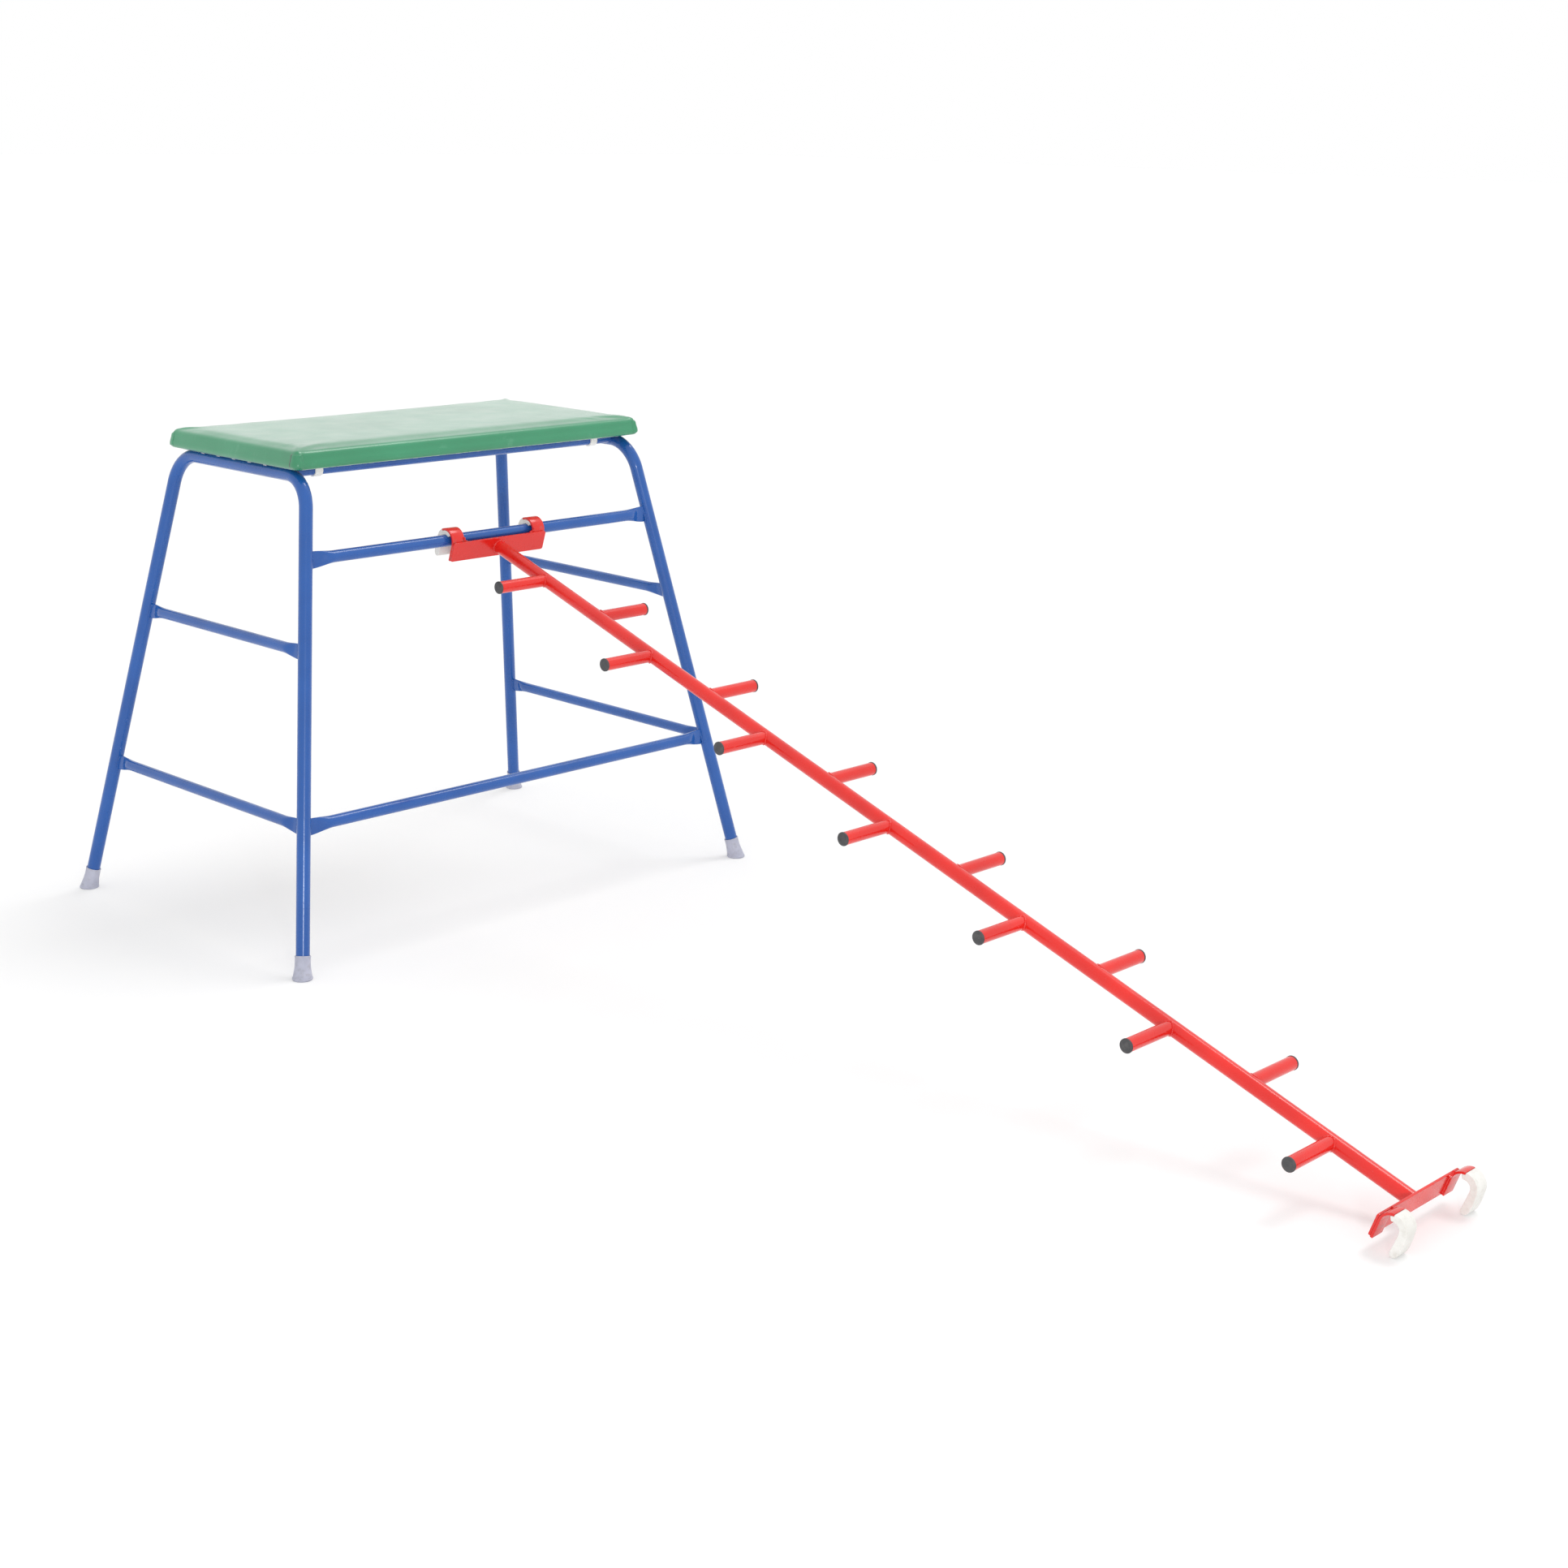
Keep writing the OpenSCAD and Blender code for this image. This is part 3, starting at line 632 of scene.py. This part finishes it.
def eased(outline, step, rounds):
    # a closed outline with points every step, its corners rounded by averaging each point with its neighbours
    closed = np.concatenate([outline, outline[:1]])
    run = np.concatenate([[0], np.cumsum(np.linalg.norm(np.diff(closed, axis=0), axis=1))])
    at = np.linspace(0, run[-1], int(run[-1] / step), endpoint=False)
    out = np.stack([np.interp(at, run, closed[:, 0]), np.interp(at, run, closed[:, 1])], 1)
    for _ in range(rounds):
        out = (np.roll(out, 1, 0) + 2 * out + np.roll(out, -1, 0)) / 4
    return out


def strapOutline(strapTo):
    h = hook
    foot = -h["rise"] - ladder["crossbarHigh"] / 2
    outer = arc((0, 0), h["strapOut"], 180, strapTo, 40)
    inner = arc((0, 0), h["strapIn"], strapTo, 180, 34)
    loop = np.concatenate([[[-h["strapOut"], foot]], outer, inner, [[-h["strapIn"], foot]]])
    return dense(loop, 0.003)


def linerOutline(strapTo):
    h = hook
    inner, tip = h["linerIn"], tipRadius
    end = -tipDrop
    loop = [arc((0, 0), h["strapIn"] - 0.00015, h["linerFrom"], strapTo, 26),
            arc((0, 0), h["strapOut"] - 0.0002, strapTo - 0.6, 0, 30),
            arc((inner + tip, end), tip, 0, -180, 20), arc((0, 0), inner, 0, h["linerFrom"], 40)]
    out = eased(np.concatenate(loop), h["linerStep"], h["linerEase"])
    t = np.clip(-out[:, 1] / h["legDrop"], 0, 1)  # the leg swells a little outside and its tip curls in
    outside = smooth((out[:, 0] - inner) / (2 * tip))
    out[:, 0] += h["swell"] * np.sin(np.pi * t) * outside - h["curl"] * t ** 2
    return out


for far, word in ((0, "upper"), (1, "lower")):
    centreY = -plateOut + hook["plateThick"] / 2
    outline = roundedRect(ladder["crossbarWide"], ladder["crossbarHigh"], 0.004)
    part = plate(outline, hook["plateThick"], hook["cutEdge"],
                 lambda p: onHook(np.stack([p[..., 0], p[..., 2] + centreY, p[..., 1] - hook["rise"]], -1), far))
    makePiece(word + "CrossbarPlate", *part[:2], redPaint, "ladder", "red_paint", part[2], sharp=60,
              stands=[word + "_crossbar"])
    straps = []
    for side in (-1, 1):
        centreX = side * (ladder["crossbarWide"] - hook["strapWide"]) / 2
        straps.append(plate(strapOutline(hook["strapTo"][far]), hook["strapWide"], hook["cutEdge"],
                            lambda p: onHook(np.stack([p[..., 2] + centreX, p[..., 0], p[..., 1]], -1), far)))
        linerPart = plate(linerOutline(hook["strapTo"][far]), hook["strapWide"], hook["linerEdge"],
                          lambda p: onHook(np.stack([p[..., 2] + centreX, p[..., 0], p[..., 1]], -1), far))
        sideWord = "left" if side < 0 else "right"
        makePiece("%sLinerHook_%s" % (word, sideWord), *linerPart[:2], linerNylon, "ladder", "liner_nylon",
                  linerPart[2], sharp=60, stands=["%s_liner_%s" % (word, sideWord)])
        # small weld fillet between the strap's inner edge and the crossbar's top
        inX = centreX - side * hook["strapWide"] / 2
        topZ = -hook["rise"] + ladder["crossbarHigh"] / 2
        size = weld["fillet"]
        outY = 0.002 - hook["strapOut"]
        a = np.radians(np.linspace(0, 90, 10))
        curve = np.stack([size * (1 - np.sin(a)), size * (1 - np.cos(a))], 1)
        fillet = np.concatenate([[[-0.002, -0.003]], [[size, -0.003]], curve, [[-0.002, size]]])
        straps.append(plate(fillet, hook["plateThick"] * 0.9, 0.0005,
                            lambda p: onHook(np.stack([inX - side * p[..., 0], p[..., 2] + outY, topZ + p[..., 1]],
                                                      -1), far)))
    points, faces, wearAndShade = joined(straps)
    makePiece(word + "HookStraps", points, faces, redPaint, "ladder", "red_paint", wearAndShade, sharp=60,
              stands=[word + "_hook_straps"])
    a = circle(80)  # round weld of the pole's end on the crossbar
    reach = ladder["poleRadius"] + 0.0003
    loop = np.stack([reach * np.cos(a), np.full(80, -plateOut - 0.0003), reach * np.sin(a) - hook["rise"]], 1)
    alongPole = onHook([0, 1, 0], far) - onHook([0, 0, 0], far)
    redWelds.append(bead(onHook(loop, far), weld["pole"], 19, alongPole, 5.1 + far))
    for side in (-1, 1):  # weld line up the strap's inner edge, on the back of the crossbar
        inX = side * (ladder["crossbarWide"] / 2 - hook["strapWide"])
        halfHigh = ladder["crossbarHigh"] / 2
        z = np.linspace(0.004 - hook["rise"] - halfHigh, halfHigh - hook["rise"] - 0.003, 44)
        line = np.stack([np.full(44, inX - side * 0.0004), np.full(44, -hook["strapOut"] + 0.0004), z], 1)
        redWelds.append(bead(onHook(line, far), weld["strap"], 12, (side, 0, 0), 3.3 * side + far, closed=False))
points, faces, wearAndShade = joined(redWelds)
makePiece("ladderWelds", points, faces, redPaint, "ladder", "red_paint", wearAndShade, sharp=80)
print("ladder made")

pad = dict(shrink=0.0012, edgeTop=0.0095, edgeLow=0.0032, voxel=0.006, pressure=4.0, steps=20, cap=0.0032,
           crown=0.0018, fold=0.030, foldLift=0.004, corner=0.012)
padLow, padHigh = [np.array(v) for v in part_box("vinyl_cover")]
foamLow, foamHigh = [np.array(v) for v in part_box("pad_foam")]


def roundedOutline(inset, corner):
    # the pad seen from above: a rounded rectangle, drawn in by the inset
    half = (padHigh[:2] - padLow[:2]) / 2 - inset
    corner = max(corner, 0.0005)
    pieces = []
    for sx, sy, start in ((1, 1, 0), (-1, 1, 90), (-1, -1, 180), (1, -1, 270)):
        pieces.append(arc((sx * (half[0] - corner), sy * (half[1] - corner)), corner, start, start + 90, 12))
    loop = np.concatenate(pieces)
    return loop + (padHigh[:2] + padLow[:2]) / 2


def padBlock():
    # the outline at each level, drawn in along rounded edges at the top and the bottom
    p = pad
    rows = []
    a = np.radians(np.linspace(0, 90, 9))
    for v in a:
        rows.append((p["edgeLow"] * (1 - math.sin(v)), padLow[2] + p["edgeLow"] * (1 - math.cos(v))))
    topZ = padHigh[2] - p["shrink"]
    for v in a[::-1]:
        rows.append((p["shrink"] + p["edgeTop"] * (1 - math.sin(v)), topZ - p["edgeTop"] * (1 - math.cos(v))))
    points = []
    for inset, z in rows:
        loop = roundedOutline(inset, p["corner"] - inset * 0.6)
        points.append(np.column_stack([loop, np.full(len(loop), z)]))
    points = np.array(points)
    columns = points.shape[1]
    return points.reshape(-1, 3), gridFaces(len(rows), columns) + endFaces(len(rows), columns)


def meshPoints(mesh):
    co = np.empty(len(mesh.vertices) * 3)
    mesh.vertices.foreach_get("co", co)
    return co.reshape(-1, 3)


def applyModifiers(piece):
    depsgraph = bpy.context.evaluated_depsgraph_get()
    fresh = bpy.data.meshes.new_from_object(piece.evaluated_get(depsgraph))
    piece.modifiers.clear()
    old = piece.data
    piece.data = fresh
    bpy.data.meshes.remove(old)


points, faces = padBlock()
padPiece = makePiece("padCover", points, faces, greenVinyl, "table", "green_vinyl", sharp=80,
                     stands=["vinyl_cover", "pad_foam"])
remesh = padPiece.modifiers.new("remesh", "REMESH")
remesh.mode = "VOXEL"
remesh.voxel_size = pad["voxel"]
remesh.use_smooth_shade = True
applyModifiers(padPiece)
rest = meshPoints(padPiece.data)
centre, half = (padLow + padHigh) / 2, (padHigh - padLow) / 2
held = padPiece.vertex_groups.new(name="held")
weight = 1 - smooth((rest[:, 2] - foamLow[2] + 0.001) / 0.006)
for value in np.unique(np.round(weight, 2)):
    held.add(np.nonzero(np.round(weight, 2) == value)[0].tolist(), float(value), "REPLACE")
cloth = padPiece.modifiers.new("cloth", "CLOTH")
s = cloth.settings
s.quality, s.mass = 6, 0.4
s.tension_stiffness, s.compression_stiffness, s.shear_stiffness, s.bending_stiffness = 40, 40, 20, 4
s.vertex_group_mass = "held"
s.use_pressure = True
s.uniform_pressure_force = pad["pressure"]
s.effector_weights.gravity = 0
cloth.collision_settings.use_collision = False
cloth.collision_settings.use_self_collision = False
cloth.point_cache.frame_start, cloth.point_cache.frame_end = 1, pad["steps"]
for step in range(1, pad["steps"] + 1):
    bpy.context.scene.frame_set(step)
applyModifiers(padPiece)
bpy.context.scene.frame_set(1)
moved = meshPoints(padPiece.data)
shift = moved - rest
far = np.linalg.norm(shift, axis=1, keepdims=True)
shift *= np.minimum(1, pad["cap"] / np.maximum(far, 1e-9))
print("pad moved by at most %.1f mm" % (1000 * np.linalg.norm(shift, axis=1).max()))
soft = rest + shift
under = np.all(np.abs(rest[:, :2] - centre[:2]) < half[:2] - pad["fold"], axis=1)  # inside the folded edge
under &= rest[:, 2] < padLow[2] + pad["foldLift"]
soft[under, 2] += pad["foldLift"]
padPiece.data.vertices.foreach_set("co", soft.ravel())
padPiece.data.update()
subdivision = padPiece.modifiers.new("subdivision", "SUBSURF")
subdivision.levels = subdivision.render_levels = 1
applyModifiers(padPiece)
padPiece.data.polygons.foreach_set("use_smooth", np.ones(len(padPiece.data.polygons), bool))
padPiece.data.materials.clear()
padPiece.data.materials.append(greenVinyl)
print("pad covered:", len(padPiece.data.polygons), "faces")

board = dict(inset=0.010, corner=0.004, edge=0.0006)
thick = boardHigh[2] - boardLow[2]
part = plate(dense(roundedOutline(board["inset"], board["corner"]), 0.02), thick, board["edge"],
             lambda p: np.stack([p[..., 0], p[..., 1], p[..., 2] + boardLow[2] + thick / 2], -1))
makePiece("boardPlate", *part[:2], boardWood, "table", "plywood", part[2] * 0, sharp=60, stands=["top_board"])

# pleats where the cover is folded round the corners; a strip along each free edge carries painted shade
pleat = dict(back=0.0075, front=0.006, low=0.004, top=0.0045, thick=0.0016, edge=0.0026)


def cornerPleat(sx, sy):
    # a sheet that runs from its free edge round the corner, by its length along the pad's outline, and up
    # from the pad's lower edge to the top edge
    corner, half2 = pad["corner"], (padHigh[:2] - padLow[:2]) / 2
    quarter = corner * math.pi / 2
    s = np.concatenate([np.array([0, 0.0004, 0.0008, 0.0014]) - pleat["back"],
                        np.linspace(0.0022 - pleat["back"], quarter + pleat["front"], 26)])
    run = s if sy < 0 else quarter - s  # at the back the free edge lies on the long side
    angle = np.clip(run / corner, 0, math.pi / 2)
    x = sx * (half2[0] - corner + corner * np.cos(angle) - np.maximum(run - quarter, 0))
    y = sy * (half2[1] - corner + corner * np.sin(angle) + np.minimum(run, 0))
    t = np.linspace(0, 1, 18)[:, None]
    z = padLow[2] + pleat["low"] + t * (padHigh[2] - padLow[2] - pleat["low"] - pleat["top"])
    points = np.stack(np.broadcast_arrays(x[None] + centre[0], y[None] + centre[1], z), -1)
    lift = 1 - smooth((s - quarter * 0.5) / (quarter * 0.5 + pleat["front"]))
    lift = lift[None] * smooth((1 - t) / 0.22) * smooth(t / 0.12 + 0.3)
    # painted shade: the rows next to the free edge are marked to take the dark fold-shade colour, standing in for
    # the crease's shadow
    foldShadeMask = ((s + pleat["back"]) < pleat["edge"]) * 1.0
    foldShadeMask = np.broadcast_to(foldShadeMask[None], lift.shape)
    if sx < 0:  # the faces turn outwards at every corner
        points, lift, foldShadeMask = points[:, ::-1], lift[:, ::-1], foldShadeMask[:, ::-1]
    return points.reshape(-1, 3), lift.ravel(), foldShadeMask.ravel(), points.shape[:2]


sheets = [cornerPleat(sx, sy) for sx in (-1, 1) for sy in (-1, 1)]
parts = [(points, gridFaces(*shape, closedColumns=False), foldShadeMask) for points, lift, foldShadeMask, shape in sheets]
# the pleats' painted shade rides in the same per-point channel that carries edge wear on painted parts
points, faces, wearAndShade = joined(parts)
pleatPiece = makePiece("padPleats", points, faces, greenVinyl, "table", "green_vinyl", wearAndShade, sharp=50)
lift = np.round(np.concatenate([sheet[1] for sheet in sheets]), 2)
group = pleatPiece.vertex_groups.new(name="thick")
for value in np.unique(lift):
    group.add(np.nonzero(lift == value)[0].tolist(), float(value), "REPLACE")
wrap = pleatPiece.modifiers.new("wrap", "SHRINKWRAP")
wrap.target, wrap.offset, wrap.wrap_mode = padPiece, 0.00015, "ABOVE_SURFACE"
solid = pleatPiece.modifiers.new("solid", "SOLIDIFY")
solid.thickness, solid.offset = pleat["thick"], 1
solid.vertex_group, solid.thickness_vertex_group = "thick", 0.02
applyModifiers(pleatPiece)
print("pleats folded")

studio = dict(floor=60, paper=0.68, paperGlow=0.22, world=1.0, sun=0.75, sunWide=24,
              sunAlong=(-0.50, 0.10, -1.0),
              fillPlace=(-2.6, -3.3, 0.95), fillTarget=(0, 0, 0.4), fillSize=0.4, fillPower=30)
cameraView = dict(place=(-2.8713, -2.8156, 1.5055), yaw=46.12, pitch=-15.565, roll=1.041,
                  sensor=36, focal=55.3733)  # millimetres


def look(place, yaw, pitch, roll):
    yaw, pitch, roll = [math.radians(v) for v in (yaw, pitch, roll)]
    ahead = Vector((math.sin(yaw) * math.cos(pitch), math.cos(yaw) * math.cos(pitch), math.sin(pitch)))
    flat = Vector((math.cos(yaw), -math.sin(yaw), 0))
    up = flat.cross(ahead)
    right = flat * math.cos(roll) + up * math.sin(roll)
    up = up * math.cos(roll) - flat * math.sin(roll)
    turn = Matrix((right, up, -ahead)).transposed().to_4x4()
    return Matrix.Translation(place) @ turn


cameraData = bpy.data.cameras.new("camera")
cameraData.sensor_width = cameraView["sensor"]
cameraData.lens = cameraView["focal"]
cameraData.clip_end = 200
camera = bpy.data.objects.new("camera", cameraData)
camera.matrix_world = look(cameraView["place"], cameraView["yaw"], cameraView["pitch"], cameraView["roll"])
bpy.context.scene.collection.objects.link(camera)
bpy.context.scene.camera = camera

floorMesh = bpy.data.meshes.new("floor")
half = studio["floor"]
floorCorners = [(-half, -half, 0), (half, -half, 0), (half, half, 0), (-half, half, 0)]
floorMesh.from_pydata(floorCorners, [], [(0, 1, 2, 3)])
floor = bpy.data.objects.new("floor", floorMesh)
bpy.context.scene.collection.objects.link(floor)
floorMaterial, tree, shader, coords = newMaterial("floorPaper")
shader.inputs["Base Color"].default_value = (studio["paper"], studio["paper"], studio["paper"], 1)
shader.inputs["Emission Color"].default_value = (1, 1, 1, 1)
shader.inputs["Emission Strength"].default_value = studio["paperGlow"]
shader.inputs["Roughness"].default_value = 0.95
shader.inputs["Specular IOR Level"].default_value = 0.1
floorMesh.materials.append(floorMaterial)

world = bpy.data.worlds.new("studio")
world.use_nodes = True
sky = world.node_tree.nodes["Background"]
sky.inputs["Color"].default_value = (1, 1, 1, 1)
sky.inputs["Strength"].default_value = studio["world"]
bpy.context.scene.world = world


def areaLight(name, place, target, size, power):
    data = bpy.data.lights.new(name, "AREA")
    data.shape, data.size, data.energy = "SQUARE", size, power
    light = bpy.data.objects.new(name, data)
    light.location = place
    light.rotation_euler = (Vector(target) - Vector(place)).to_track_quat("-Z", "Y").to_euler()
    bpy.context.scene.collection.objects.link(light)


sunData = bpy.data.lights.new("key", "SUN")
sunData.energy, sunData.angle = studio["sun"], math.radians(studio["sunWide"])
sun = bpy.data.objects.new("key", sunData)
sun.rotation_euler = Vector(studio["sunAlong"]).to_track_quat("-Z", "Y").to_euler()
bpy.context.scene.collection.objects.link(sun)
areaLight("fill", studio["fillPlace"], studio["fillTarget"], studio["fillSize"], studio["fillPower"])
bpy.context.scene.view_settings.view_transform = "Standard"
bpy.context.scene.view_settings.look = "None"
print("studio lit")
